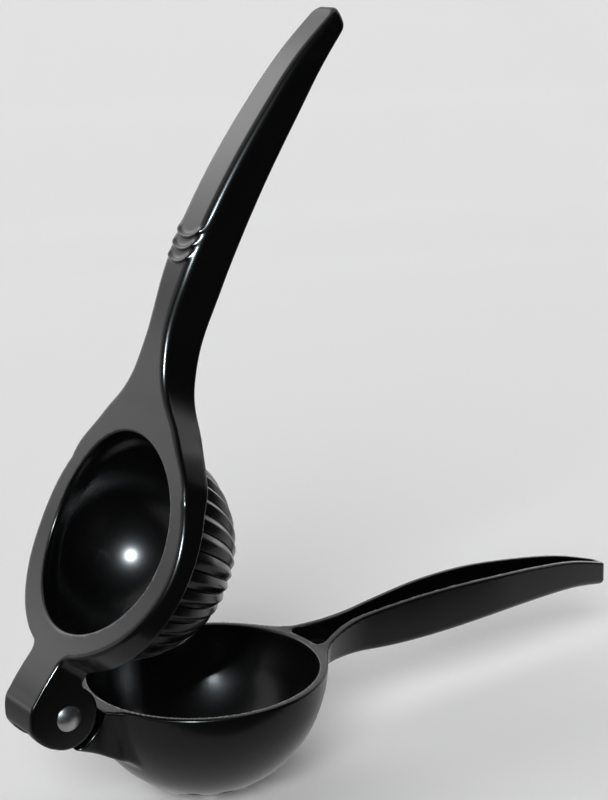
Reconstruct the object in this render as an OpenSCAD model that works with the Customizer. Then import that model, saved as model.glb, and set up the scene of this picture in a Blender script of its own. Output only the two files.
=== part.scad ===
// Hinged lemon squeezer: two cast levers that turn on one rivet.
// The origin is the centre of the flat under the bowl, X runs to the handle tips, Y along the
// rivet and Z up. Both levers are drawn closed, and the upper one is then swung open.

/* [Bowl] */
// Outside diameter of the bowl and of the ring above it
bowl_d = 72; // [66:1:80]
// Wall of the bowl
bowl_wall = 2.4; // [2:0.1:3]
// Diameter of the flat that the bowl stands on
seat_d = 13; // [9:1:15]
// Diameter of a drain hole
drain_d = 4.4; // [3:0.2:5]
// Radius of the inner circle of drain holes
drain_inner_r = 10; // [10:0.5:11.5]
// Radius of the outer circle of drain holes
drain_outer_r = 18; // [17.5:0.5:20]
// Drain holes in the inner circle, and the outer circle has twice as many
drain_count = 6; // [4:1:8]

/* [Press dome] */
// Gap between the ribs and the bowl when closed
squeeze_gap = 1.9; // [1.4:0.1:3]
// Wall of the dome behind the grooves
dome_wall = 2.6; // [2:0.1:3.4]
// Depth of the grooves between the ribs
rib_depth = 1.3; // [0.8:0.1:1.5]
// Number of ribs around the dome
rib_count = 36; // [24:1:40]
// Radius of the smooth cap where the ribs run out
cap_r = 9; // [7:0.5:14]

/* [Ring] */
// Thickness of the ring at its thinnest
ring_h = 5.1; // [4:0.1:7]
// Gap between the ring and the rim of the bowl when closed
rim_gap = 1.2; // [0.8:0.1:2]

/* [Hinge] */
// Distance from the rim of the bowl back to the rivet's axis
pin_back = 12.5; // [12:0.1:14]
// Height of the rivet's axis above the rim of the bowl
pin_rise = 1; // [0.5:0.1:1.5]
// Diameter of the rivet's shank
rivet_d = 4; // [3:0.2:5]
// Diameter of the rivet's heads
rivet_head_d = 7.4; // [6:0.2:8]
// Height of the rivet's heads
rivet_head_h = 1.2; // [0.8:0.1:1.6]
// Width of the lower lever's tongue
tongue_w = 8.1; // [6:0.1:10]
// Radius of the tongue's round end
tongue_r = 8.3; // [7.5:0.1:8.6]
// Thickness of each ear
ear_t = 3; // [2.4:0.1:3.6]
// Radius of the ears below the rivet
ear_r = 9.3; // [9:0.1:9.6]
// Thickness of the hood over the tongue
hood_t = 2.9; // [2.4:0.1:3.2]
// Depth of the arm where it meets the bowl
arm_depth = 17; // [14:0.5:19]
// Width of the arm where it meets the rim
arm_w = 23; // [21:0.5:26]
// Angle around the rivet at which the hood's lip ends
lip_angle = 131; // [125:1:135]
// Angle of the upper lever above its closed place
open_angle = 61.3; // [20:0.1:120]

/* [Handles] */
// Length of the handles beyond the rim of the bowl
handle_l = 125; // [105:1:150]
// Width of the lower handle at its neck
lower_neck_w = 9; // [8:0.1:11]
// Width of the upper handle at its neck
upper_neck_w = 11.2; // [10:0.1:12]
// Width of the lower grip at its widest
lower_grip_w = 15.2; // [13:0.1:18]
// Width of the upper grip at its widest
upper_grip_w = 13.8; // [13:0.1:18]
// Height of the arch along which the handles part
arch_h = 5.3; // [3:0.1:7]
// Drop of that arch at the tips
tip_drop = 4.7; // [3:0.1:7]
// Depth of the lower grip at its deepest
lower_grip_h = 14.4; // [11:0.1:17]
// Depth of the upper grip at its deepest
upper_grip_h = 13.4; // [11:0.1:17]
// Wall of the two hollow handles
grip_wall = 1.9; // [1.5:0.1:2.4]
// Wall of the lower handle where it flares into the rim
neck_wall = 2.4; // [2:0.1:3]
// Length of solid metal at the tips
tip_solid = 2.6; // [2:0.1:4]
// Radius along which each thumb ridge curves
thumb_r = 7.5; // [7:0.1:9]
// Length across the smallest thumb ridge
thumb_l = 9.2; // [7:0.2:9.6]
// Width of a thumb ridge, which stands half as high
thumb_w = 1.4; // [0.8:0.1:1.6]
// Pitch of the thumb ridges
thumb_pitch = 3.6; // [2.8:0.1:5]

/* [Clearances] */
// Between the rivet and the bore of the tongue, on the radius
bore_clear = 0.05; // [0.02:0.01:0.1]
// Between the rivet and the bores of the ears, on the radius
fixed_clear = 0.02; // [0.01:0.01:0.04]
// Between the tongue and each ear
side_clear = 0.2; // [0.1:0.05:0.3]
// Between the tongue's round end and the hood
hood_clear = 0.6; // [0.4:0.1:1]
// Between the ears and the shoulders of the arm
shoulder_clear = 1.6; // [1:0.1:2]
// Between the two handles when closed
handle_gap = 0.5; // [0.3:0.1:1]
// How much further the handles part at their tips when closed
tip_gap = 2.4; // [1:0.1:4]

/* [Hidden] */
enamel = [0.08, 0.08, 0.085];
steel = [0.75, 0.76, 0.78];
$fn = 96;

// bowl
bowl_r = bowl_d / 2;
hollow_r = bowl_r - bowl_wall;
rim_z = sqrt(bowl_r * bowl_r - seat_d * seat_d / 4);

// press dome, centred on the ring's underside
dome_r = hollow_r - squeeze_gap;
dome_hollow_r = dome_r - rib_depth - dome_wall;

// hinge, measured from the centre of the rim
pin_x = -(bowl_r + pin_back);
pin_z = pin_rise;
hood_in_r = tongue_r + hood_clear;
hood_r = hood_in_r + hood_t;
slot_w = tongue_w + 2 * side_clear;
hinge_w = slot_w + 2 * ear_t;
shoulder_r = ear_r + shoulder_clear;
rivet_r = rivet_d / 2;

// handles: t runs from 0 at the rim of the bowl to 1 at the tips
over = 1;               // how far a cutting shape runs past what it cuts
steps = 30;             // stations along a handle
tip_l = 5;              // length over which the tips are rounded
t_tip = 1 - tip_l / handle_l;
reach = bowl_r + handle_l;
channel_t = 0.12;       // where the hollow of the upper handle starts
thumb_t = 0.337;        // place of the first thumb ridge
thumb_grow = 1.2;       // how much longer each thumb ridge is than the one before
near_t = 0.02;          // step along a handle for reading a slope
part_t = 0.72;          // where the handles start to part towards their tips
thin = 0.6;             // narrowest half-width of the trough
flare_t = -0.11;        // where the upper handle starts to part from the ring
arm_flare = 5.5;        // length over which the arm widens into the rim
ring_top = rim_gap + ring_h;

// Cubic curve through the points [place, value] of p, read at t
function slope(p, i) =
    let (a = max(i - 1, 0), b = min(i + 1, len(p) - 1)) (p[b][1] - p[a][1]) / (p[b][0] - p[a][0]);
function span(p, t, i = 0) = i >= len(p) - 2 || t < p[i + 1][0] ? i : span(p, t, i + 1);
function hermite(a, b, ma, mb, s) =
    a * (1 + 2 * s) * (1 - s) ^ 2 + ma * s * (1 - s) ^ 2 + b * s ^ 2 * (3 - 2 * s) + mb * s ^ 2 * (s - 1);
function value(p, t) =
    let (i = span(p, t), h = p[i + 1][0] - p[i][0])
    hermite(p[i][1], p[i + 1][1], h * slope(p, i), h * slope(p, i + 1), (t - p[i][0]) / h);

function hx(t) = bowl_r + t * handle_l;
function arch(t) = value([[0, handle_gap / 2], [0.14, 0.55 * arch_h], [0.26, 0.83 * arch_h], [0.4, arch_h],
    [0.57, 0.89 * arch_h], [0.74, 0.5 * arch_h], [0.87, 0], [1, -tip_drop]], t);
function lower_top(t) = arch(t) - handle_gap / 2;
function lower_bottom(t) = arch(t) - lower_grip_h * value([[0, 0.44], [0.12, 0.73], [0.25, 0.94],
    [0.4, 1], [0.62, 0.87], [0.8, 0.73], [1, 0.53]], t);
function upper_bottom(t) = t < part_t ? max(rim_gap, arch(t) + handle_gap / 2) :
    arch(t) + handle_gap / 2 + tip_gap * ((t - part_t) / (1 - part_t)) ^ 2;
function upper_top(t) = arch(t) + upper_grip_h * value([[0, 0.73], [0.07, 0.9], [0.28, 1],
    [0.5, 0.94], [0.75, 0.78], [1, 0.59]], t);

// half-widths in plan
lower_root = 25;        // angle on the rim where the lower handle flares out
neck_t = 0.168;
function root_half(x) = let (x0 = bowl_r * cos(lower_root), s = (x - x0) / (hx(neck_t) - x0))
    lower_neck_w / 2 + (bowl_r * sin(lower_root) - lower_neck_w / 2) * (1 - s) ^ 2;
function lower_half(t) = t < neck_t ? root_half(hx(t)) :
    value([[neck_t, lower_neck_w / 2], [0.26, 0.35 * lower_grip_w], [0.4, 0.45 * lower_grip_w],
        [0.56, 0.5 * lower_grip_w], [0.68, 0.44 * lower_grip_w], [0.86, 0.31 * lower_grip_w],
        [1, 0.19 * lower_grip_w]], t);
function upper_half(t) = value([[flare_t, 0.81 * bowl_r], [-0.05, 0.65 * bowl_r], [0, 0.49 * bowl_r],
    [0.03, 0.376 * bowl_r], [0.06, 0.286 * bowl_r], [0.1, 0.214 * bowl_r], [0.19, upper_neck_w / 2],
    [0.31, 0.465 * upper_grip_w], [0.45, upper_grip_w / 2], [0.67, 0.49 * upper_grip_w],
    [0.85, 0.42 * upper_grip_w], [1, 0.35 * upper_grip_w]], t);

// top of the ring along X, from over the rivet to the handle
function ring_face(x) = value([[pin_x, pin_z + hood_r], [pin_x + 4.5, pin_z + hood_r - 0.5],
    [pin_x + 10, pin_z + hood_r - 1.8], [-0.74 * bowl_r, ring_top + 2.3], [-0.42 * bowl_r, ring_top + 0.6],
    [-0.08 * bowl_r, ring_top], [0.28 * bowl_r, ring_top + 0.6], [0.6 * bowl_r, ring_top + 1.7],
    [bowl_r, upper_top(0)]], x);
// outline of the hood and the front of the ears, as a radius around the rivet
function hood_edge(a) = value([[90, hood_r], [113, hood_r - 0.8], [126, hood_r - 1.1],
    [140, (hood_r + ear_r) / 2 - 0.4], [158, ear_r + 0.3], [180, ear_r]], a);

function polar(r, a) = [r * cos(a), r * sin(a)];
function mirrored(p) = concat(p, [for (i = [len(p) - 1:-1:0]) [p[i][0], -p[i][1]]]);

// Solid between two heights with an outline in plan
module in_plan(points, low, high) {
    translate([0, 0, low]) linear_extrude(height = high - low) polygon(points);
}
// Solid of width w, centred on Y, with an outline seen from the side
module from_side(points, w) {
    rotate([90, 0, 0]) linear_extrude(height = w, center = true) polygon(points);
}
// Round bar of length l along Y through the rivet's axis
module on_pin(r, l) {
    translate([pin_x, 0, pin_z]) rotate([90, 0, 0]) cylinder(r = r, h = l, center = true);
}

// Rounded end of a handle in plan, from half-width w
function tip_arc(w) = [for (a = [0:15:90]) [hx(t_tip) + tip_l * sin(a), w * cos(a)]];

module bowl_blank() {
    intersection() {
        sphere(r = bowl_r);
        translate([-bowl_r, -bowl_r, -rim_z]) cube([bowl_d, bowl_d, rim_z]);
    }
}

module drain_holes() {
    for (i = [0:drain_count - 1]) rotate(i * 360 / drain_count) translate([drain_inner_r, 0, -bowl_r - over])
        cylinder(d = drain_d, h = bowl_r);
    for (i = [0:2 * drain_count - 1]) rotate((i + 0.5) * 180 / drain_count)
        translate([drain_outer_r, 0, -bowl_r - over]) cylinder(d = drain_d, h = bowl_r);
}

// Trough that opens upward, with its walls flared into the rim
module lower_handle() {
    root_x = bowl_r * cos(lower_root);
    outline = concat([for (x = [root_x:1.5:bowl_r]) [x, root_half(x)]],
        [for (i = [0:steps]) let (t = i * t_tip / steps) [hx(t), lower_half(t)]], tip_arc(lower_half(t_tip)));
    inside = [for (i = [0:steps]) let (t = i * (1 - tip_solid / handle_l) / steps)
        [hx(t), max(lower_half(t) - (t < neck_t ? neck_wall : grip_wall), thin)]];
    side = concat([[0, 0]], [for (i = [0:steps]) [hx(i / steps), lower_top(i / steps)]],
        [for (i = [steps:-1:0]) [hx(i / steps), lower_bottom(i / steps)]], [[0, lower_bottom(0)]]);
    trough = concat([for (i = [0:steps]) [hx(i / steps), lower_bottom(i / steps) + grip_wall]],
        [[reach, bowl_r], [bowl_r, bowl_r]]);
    difference() {
        intersection() {
            from_side(side, bowl_d);
            in_plan(mirrored(outline), -bowl_r, bowl_r);
        }
        intersection() {
            from_side(trough, bowl_d);
            in_plan(mirrored(inside), -bowl_r, bowl_r);
        }
    }
}

// Arm behind the bowl, with the tongue that fills the gap between the ears
module hinge_arm() {
    pin = [pin_x, pin_z];
    inner_x = -bowl_r / 2;      // inside the bowl, whose hollow cuts the arm back
    root_x = over - sqrt(bowl_r * bowl_r - arm_depth * arm_depth);
    plan = concat([[inner_x, arm_w / 2]],
        [for (s = [1:-0.2:0]) [2 * over - bowl_r - arm_flare * (1 - s), (hinge_w + (arm_w - hinge_w) * s * s) / 2]],
        [[pin_x, hinge_w / 2]]);
    side = [[inner_x, 0], [inner_x, -arm_depth], [root_x, -arm_depth], pin + polar(shoulder_r + over, 285),
        pin + polar(tongue_r, 250), pin, [pin_x + tongue_r, 0]];
    difference() {
        union() {
            intersection() {
                from_side(side, bowl_d);
                in_plan(mirrored(plan), -bowl_r, 0);
            }
            on_pin(tongue_r, tongue_w);
        }
        for (s = [-1, 1]) translate([0, s * (tongue_w / 2 + bowl_r), 0]) on_pin(shoulder_r, bowl_d);
    }
}

module lower_lever() {
    color(enamel) translate([0, 0, rim_z]) difference() {
        union() {
            bowl_blank();
            lower_handle();
            hinge_arm();
        }
        sphere(r = hollow_r);
        drain_holes();
        on_pin(rivet_r + bore_clear, bowl_d);
    }
}

// Ring, neck, handle and hood as one strap: its plan outline crossed with its side outline
module upper_strap() {
    plan = concat([for (i = [8:-1:1]) let (t = i * flare_t / 8) [hx(t), upper_half(t)]],
        [for (i = [0:steps]) let (t = i * t_tip / steps) [hx(t), upper_half(t)]], tip_arc(upper_half(t_tip)));
    hood = [for (a = [180:-6:96]) [pin_x, pin_z] + polar(hood_edge(a), a)];
    side = concat(hood, [for (i = [0:24]) let (x = pin_x + i * (bowl_r - pin_x) / 24) [x, ring_face(x)]],
        [for (i = [1:steps]) [hx(i / steps), upper_top(i / steps)]],
        [for (i = [steps:-1:0]) [hx(i / steps), upper_bottom(i / steps)]],
        [[pin_x + ear_r, rim_gap], [pin_x, pin_z]]);
    intersection() {
        from_side(side, bowl_d + 2 * over);
        union() {
            in_plan(mirrored(plan), -bowl_r, bowl_r);
            translate([0, 0, -bowl_r]) cylinder(r = bowl_r, h = bowl_d);
            translate([pin_x - bowl_r, -hinge_w / 2, -bowl_r]) cube([bowl_r + pin_back + over, hinge_w, bowl_d]);
        }
    }
}

// Channel that opens downward inside the upper handle
module upper_channel() {
    t_end = 1 - tip_solid / handle_l;
    plan = [for (i = [0:steps]) let (t = channel_t + i * (t_end - channel_t) / steps)
        [hx(t), upper_half(t) - grip_wall]];
    side = concat([for (i = [0:steps]) [hx(i / steps), upper_top(i / steps) - grip_wall]],
        [[reach, -bowl_r], [bowl_r, -bowl_r]]);
    intersection() {
        from_side(side, bowl_d);
        in_plan(mirrored(plan), -bowl_r, bowl_r);
    }
}

// Room for the tongue under the hood and between the ears
module tongue_slot() {
    far = 2 * hood_r;
    near = ear_r + over;
    on_pin(hood_in_r, slot_w);
    from_side([for (p = [[0, 0], polar(far, lip_angle), [-far, 0], [-far, -far], [near, -far],
        [near, rim_gap - pin_z], [0, rim_gap - pin_z]]) p + [pin_x, pin_z]], slot_w);
}

// Solid dome whose outline at each latitude is a star: ribs on a sphere, V grooves between them.
// It reaches up into the ring, and its hollow is cut later.
module press_dome() {
    sides = 2 * rib_count;
    rings = 12;
    cap_lat = acos(cap_r / dome_r);
    function groove(lat) = lat < cap_lat ? rib_depth * (1 - (lat / cap_lat) ^ 3) : 0;
    function dome_point(lat, i, rise) = let (r = dome_r - (i % 2) * groove(lat), a = i * 360 / sides)
        [r * cos(lat) * cos(a), r * cos(lat) * sin(a), rim_gap + rise - r * sin(lat)];
    points = concat([for (i = [0:sides - 1]) dome_point(0, i, over)],
        [for (k = [0:rings - 1], i = [0:sides - 1]) dome_point(k * 90 / rings, i, 0)],
        [[0, 0, rim_gap - dome_r]]);
    last = rings * sides;
    faces = concat([[for (i = [sides - 1:-1:0]) i]],
        [for (a = [0:sides:last - 1], i = [0:sides - 1]) let (j = (i + 1) % sides)
            [a + i, a + j, a + sides + j, a + sides + i]],
        [for (i = [0:sides - 1]) [last + i, last + (i + 1) % sides, last + sides]]);
    polyhedron(points, faces, convexity = 4);
}

// Crescent ridges across the top of the grip, for the thumb
module thumb_ridges() {
    for (i = [0:2]) {
        t = thumb_t + i * thumb_pitch / handle_l;
        tilt = atan((upper_top(t + near_t) - upper_top(t - near_t)) / (2 * near_t * handle_l));
        half = asin((thumb_l + i * thumb_grow) / 2 / thumb_r);
        translate([hx(t) + thumb_r, 0, upper_top(t)]) rotate([0, -tilt, 0]) rotate(180 - half)
            rotate_extrude(angle = 2 * half) translate([thumb_r, 0]) circle(d = thumb_w);
    }
}

// Swings the upper lever from its closed place to its stored place
module opened() {
    translate([pin_x, 0, pin_z + rim_z]) rotate([0, -open_angle, 0]) translate([-pin_x, 0, -pin_z]) children();
}

module upper_lever() {
    color(enamel) opened() difference() {
        union() {
            upper_strap();
            on_pin(ear_r, hinge_w);
            press_dome();
            thumb_ridges();
        }
        translate([0, 0, rim_gap]) sphere(r = dome_hollow_r);
        translate([0, 0, rim_gap]) cylinder(r = dome_hollow_r, h = bowl_r);
        upper_channel();
        tongue_slot();
        on_pin(rivet_r + fixed_clear, bowl_d);
    }
}

// Steel rivet with a domed head on each side, each a slice of a sphere
module hinge_rivet() {
    head_r = (rivet_head_d * rivet_head_d / 4 + rivet_head_h * rivet_head_h) / (2 * rivet_head_h);
    color(steel) opened() {
        on_pin(rivet_r, hinge_w);
        for (s = [-1, 1]) intersection() {
            translate([pin_x, s * (hinge_w / 2 + rivet_head_h - head_r), pin_z]) sphere(r = head_r);
            translate([0, s * (hinge_w / 2 + rivet_head_h), 0]) on_pin(rivet_head_d, 2 * rivet_head_h);
        }
    }
}

lower_lever();
upper_lever();
hinge_rivet();
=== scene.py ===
import math

import bpy
import numpy as np
from mathutils import Matrix, Vector


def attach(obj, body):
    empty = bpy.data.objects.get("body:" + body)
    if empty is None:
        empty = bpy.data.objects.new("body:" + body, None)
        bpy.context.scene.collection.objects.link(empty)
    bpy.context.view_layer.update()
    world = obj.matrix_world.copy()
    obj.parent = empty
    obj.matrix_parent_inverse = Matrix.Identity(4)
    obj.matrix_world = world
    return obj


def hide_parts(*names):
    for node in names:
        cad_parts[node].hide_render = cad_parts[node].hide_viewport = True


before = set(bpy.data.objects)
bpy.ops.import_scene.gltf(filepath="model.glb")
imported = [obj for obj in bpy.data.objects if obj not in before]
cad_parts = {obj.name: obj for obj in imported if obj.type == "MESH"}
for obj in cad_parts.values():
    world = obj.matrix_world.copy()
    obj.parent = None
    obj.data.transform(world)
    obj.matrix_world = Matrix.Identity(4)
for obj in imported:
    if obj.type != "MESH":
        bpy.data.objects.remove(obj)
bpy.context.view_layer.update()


# ---- Lower lever -------------------------------------------------------------------------------
# One casting in aluminium: a bowl with drain holes, a trough for a handle, and an arm that ends in
# the hinge's tongue. It is trimmed, tumbled until every edge is round, and enamelled gloss black.
# Sizes of both levers are in millimetres, measured closed, from the centre of the bowl's rim.
MM = 0.001
BOWL_R = 36.0
BOWL_WALL = 2.4
SEAT_R = 6.5                 # the small flat the bowl stands on
RIM_Z = math.sqrt(BOWL_R ** 2 - SEAT_R ** 2)
RIM_OUT, RIM_OUT_H = 0.65, 12.0      # the rim runs out a little towards the handle
RIM_EDGE_R, SEAT_EDGE_R = 0.6, 0.8
PIN_X, PIN_Z = -48.5, 1.0    # the rivet's axis
TONGUE_R, TONGUE_W, TONGUE_EDGE_R = 8.3, 8.1, 0.5
BORE_R, BORE_EDGE_R = 2.05, 0.2
SHOULDER_R, SHOULDER_EDGE_R = 10.9, 0.45     # the arm is cut back around the ears
ARM_HALF, ARM_FLARE = 7.25, 4.25     # half its width, and how much that grows towards the bowl
ARM_FLARE_X, ARM_FLARE_L = -42.5, 8.5
ARM_BELLY = ((-30.7, -16.7), (-45.4, -10.2))     # two points of its straight underside
ARM_EDGE_R, ARM_FILLET = 1.5, 2.0
HINGE_END = -20.0            # where the arm, and the strip above it, end inside bowl and ring
HANDLE_L = 125.0             # beyond the rim
REACH = BOWL_R + HANDLE_L
LOWER_REACH = REACH - 1.1    # the lower handle ends a little short of the upper one
HANDLE_START = 28.0          # its other end, inside the bowl's wall
HANDLE_FILLET = 4.2
ARCH_H, TIP_DROP = 5.3, 4.7  # the handles part along this arch
HANDLE_GAP = 0.15            # between them, closed
GRIP_EDGE_R, LID_EDGE_R = 2.0, 0.8
GRIP_WALL, TIP_SOLID = 1.9, 2.6      # beside and beyond the hollow of either handle
NECK_WALL, NECK_END, NECK_FADE = 0.5, 50.0, 12.0     # the lower neck's wall is thicker
HOLLOW_MIN = 0.6             # least half width of a handle's hollow
HOLLOW_END_R, HOLLOW_CORNER_R, HOLLOW_EDGE_R = 1.2, 1.6, 0.4


def curve(knots):
    """Smooth curve through [place, value] knots; it returns its value at any place."""
    at, val = np.array(knots, float).T
    rise = np.gradient(val)
    run = np.gradient(at)
    slope = rise / run

    def read(t):
        t = np.clip(np.asarray(t, float), at[0], at[-1])
        i = np.clip(np.searchsorted(at, t, side="right") - 1, 0, len(at) - 2)
        h = at[i + 1] - at[i]
        s = (t - at[i]) / h
        return (val[i] * (1 + 2 * s) * (1 - s) ** 2 + h * slope[i] * s * (1 - s) ** 2
                + val[i + 1] * s * s * (3 - 2 * s) + h * slope[i + 1] * s * s * (s - 1))
    return read


def outline(line, low, high, soften=2.0):
    """A line over x, softened over a short length; it returns the value and the slope at x."""
    step = 0.1
    x = np.arange(low, high + step, step)
    reach = int(3 * soften / step)
    bell = np.exp(-0.5 * (np.arange(-reach, reach + 1) * step / soften) ** 2)
    smooth = np.convolve(np.pad(line(x), reach, mode="reflect", reflect_type="odd"),
                         bell / bell.sum(), mode="valid")
    slope = np.gradient(smooth, step)
    return lambda at: (np.interp(at, x, smooth), np.interp(at, x, slope))


def both(a, b, r):
    """What lies in both a and b, with its edge rounded to the radius r."""
    return np.minimum(-r, np.maximum(a, b)) + np.hypot(np.maximum(a + r, 0), np.maximum(b + r, 0))


def either(a, b, r):
    """a and b together, with a fillet of radius r where they meet."""
    return np.maximum(r, np.minimum(a, b)) - np.hypot(np.maximum(r - a, 0), np.maximum(r - b, 0))


def ease(t):
    """Smooth rise from 0 to 1 while t does the same."""
    t = np.clip(t, 0, 1)
    return t * t * (3 - 2 * t)


def slanted(distance, slope):
    """True distance from a sloping line, out of the one measured straight up or sideways."""
    return distance / np.sqrt(1 + slope ** 2)


def hollow(x, side, half, half_slope, wall, end):
    """Plan of a handle's hollow: inside its side walls, and short of its solid tip."""
    walls = slanted(side - np.maximum(half - wall, HOLLOW_MIN), half_slope)
    return both(walls, x - end, HOLLOW_END_R)


def stations(*stretches):
    """Grid lines from stretches of (start, end, step)."""
    parts = [np.linspace(a, b, max(2, round((b - a) / step) + 1))[:-1] for a, b, step in stretches]
    return np.concatenate(parts + [[stretches[-1][1]]])


def steepness(shape, p, reach=0.04):
    """Gradient of the shape's distance at the points p."""
    g = np.empty_like(p)
    for a in range(3):
        step = np.zeros(3)
        step[a] = reach
        g[:, a] = (shape(*(p + step).T) - shape(*(p - step).T)) / (2 * reach)
    return g


def skin(shape, xs, ys, zs, rounds=4, longest_move=0.4, least_slope=0.05):
    """Closed skin of the solid where shape(x, y, z) is below zero: points and four-sided faces.

    Each point starts in the middle of its grid cell's crossings and is moved onto the surface.
    """
    lines = (xs, ys, zs)
    f = shape(xs[:, None, None], ys[None, :, None], zs[None, None, :])
    inside = f < 0
    count = np.zeros(np.array(f.shape) - 1, np.uint8)
    for corner in np.ndindex(2, 2, 2):
        count += inside[tuple(slice(c, n - 1 + c) for c, n in zip(corner, f.shape))]
    active = (count > 0) & (count < 8)
    cell = np.full(active.shape, -1, np.int64)
    cell[active] = np.arange(active.sum())
    total = np.zeros((active.sum(), 3))
    hits = np.zeros(active.sum())
    faces = []
    for a in range(3):
        b, c = (a + 1) % 3, (a + 2) % 3
        low = [slice(None)] * 3
        high = [slice(None)] * 3
        low[a], high[a] = slice(None, -1), slice(1, None)
        at = np.argwhere(inside[tuple(low)] != inside[tuple(high)])
        end = at.copy()
        end[:, a] += 1
        f0, f1 = f[tuple(at.T)], f[tuple(end.T)]
        cross = np.stack([lines[k][at[:, k]] for k in range(3)], 1)
        cross[:, a] += f0 / (f0 - f1) * (lines[a][end[:, a]] - lines[a][at[:, a]])
        ring = []
        for db, dc in ((-1, -1), (0, -1), (0, 0), (-1, 0)):
            around = at.copy()
            around[:, b] += db
            around[:, c] += dc
            n = cell[tuple(around.T)]
            ring.append(n)
            for k in range(3):
                total[:, k] += np.bincount(n, cross[:, k], len(total))
            hits += np.bincount(n, minlength=len(total))
        ring = np.stack(ring, 1)
        outward = f0 < 0
        faces.append(np.where(outward[:, None], ring, ring[:, ::-1]))
    p = total / hits[:, None]
    for _ in range(rounds):
        g = steepness(shape, p)
        move = shape(*p.T)[:, None] * g / np.maximum((g * g).sum(1), least_slope)[:, None]
        far = np.linalg.norm(move, axis=1, keepdims=True)
        p = p - move * np.minimum(1, longest_move / np.maximum(far, 1e-9))
    return p, np.concatenate(faces)


def in_scene(name, data):
    """New object of a mesh, a light or a camera, linked to the scene."""
    obj = bpy.data.objects.new(name, data)
    bpy.context.scene.collection.objects.link(obj)
    return obj


def casting(name, shape, grid):
    """Mesh object of a shape, still in the shape's own millimetres."""
    p, faces = skin(shape, *grid)
    mesh = bpy.data.meshes.new(name)
    mesh.from_pydata(p.tolist(), [], faces.tolist())
    mesh.update()
    return in_scene(name, mesh)


# a face belongs to a drain hole's wall where it lies this near the hole's axis, and where the
# cosine of the angle between its own normal and the shape's is below this
BORE_REACH, BORE_TURN = 3.0, 0.72


def finish_casting(obj, shape, place, bores=None):
    """Gives a casting its smooth normals from the shape, and moves its mesh into place.

    The walls of the bores, which the shape doesn't have, get normals towards their axes.
    """
    mesh = obj.data
    n = len(mesh.vertices)
    co = np.empty(n * 3)
    mesh.vertices.foreach_get("co", co)
    co = co.reshape(-1, 3)
    g = steepness(shape, co)
    g /= np.maximum(np.linalg.norm(g, axis=1, keepdims=True), 1e-9)
    loops = np.empty(len(mesh.loops), np.int64)
    mesh.loops.foreach_get("vertex_index", loops)
    corner = g[loops]
    if bores is not None:
        size = np.empty(len(mesh.polygons), np.int64)
        mesh.polygons.foreach_get("loop_total", size)
        flat = np.empty(len(mesh.polygons) * 3)
        mesh.polygons.foreach_get("normal", flat)
        flat = np.repeat(flat.reshape(-1, 3), size, axis=0)
        wall = (corner * flat).sum(1) < BORE_TURN
        here = co[loops]
        gap = np.hypot(here[:, None, 0] - bores[None, :, 0], here[:, None, 1] - bores[None, :, 1])
        near = bores[gap.argmin(1)]
        wall &= gap.min(1) < BORE_REACH
        radial = np.zeros_like(here)
        radial[:, :2] = near - here[:, :2]
        radial /= np.maximum(np.linalg.norm(radial, axis=1, keepdims=True), 1e-9)
        corner = np.where(wall[:, None], radial, corner)
    turn = np.array(place.to_3x3())
    turn = turn / np.linalg.norm(turn[:, 0])
    mesh.transform(place)
    mesh.shade_smooth()
    mesh.normals_split_custom_set((corner @ turn.T).tolist())
    mesh.update()


arch_line = curve([[0, HANDLE_GAP], [0.14, 0.55 * ARCH_H], [0.26, 0.83 * ARCH_H],
                   [0.4, ARCH_H], [0.57, 0.89 * ARCH_H], [0.74, 0.5 * ARCH_H], [0.87, 0],
                   [1, -TIP_DROP]])
LOWER_NECK_W, LOWER_GRIP_W, LOWER_GRIP_H = 9.0, 15.4, 14.5
LOWER_ROOT = math.radians(22)    # where the handle leaves the rim
NECK_T = 0.168                   # where its neck is narrowest, as a share of its length
lower_depth = curve([[0, 0.44], [0.12, 0.73], [0.25, 0.94], [0.4, 1], [0.62, 0.87], [0.8, 0.73],
                     [1, 0.53]])
lower_width = curve([[NECK_T, LOWER_NECK_W / 2], [0.26, 0.35 * LOWER_GRIP_W],
                     [0.4, 0.45 * LOWER_GRIP_W], [0.56, 0.5 * LOWER_GRIP_W],
                     [0.68, 0.44 * LOWER_GRIP_W], [0.86, 0.31 * LOWER_GRIP_W],
                     [1, 0.19 * LOWER_GRIP_W]])


def along(x):
    """Place on a handle: 0 at the rim, 1 at the tip."""
    return (x - BOWL_R) / HANDLE_L


def lower_half(x):
    """Half the lower handle's width, which flares where it leaves the rim."""
    root = BOWL_R * math.cos(LOWER_ROOT)
    s = (x - root) / (BOWL_R + NECK_T * HANDLE_L - root)
    flare = LOWER_NECK_W / 2 + (BOWL_R * math.sin(LOWER_ROOT) - LOWER_NECK_W / 2) * (1 - s) ** 2
    return np.where(along(x) < NECK_T, flare, lower_width(along(x)))


lower_side = outline(lower_half, 20, REACH + 2)
lower_top = outline(lambda x: np.where(x < BOWL_R, 0, arch_line(along(x))),
                    -60, REACH + 2, soften=1.2)
lower_bottom = outline(lambda x: arch_line(along(x)) - LOWER_GRIP_H * lower_depth(along(x)),
                       20, REACH + 2)


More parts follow.
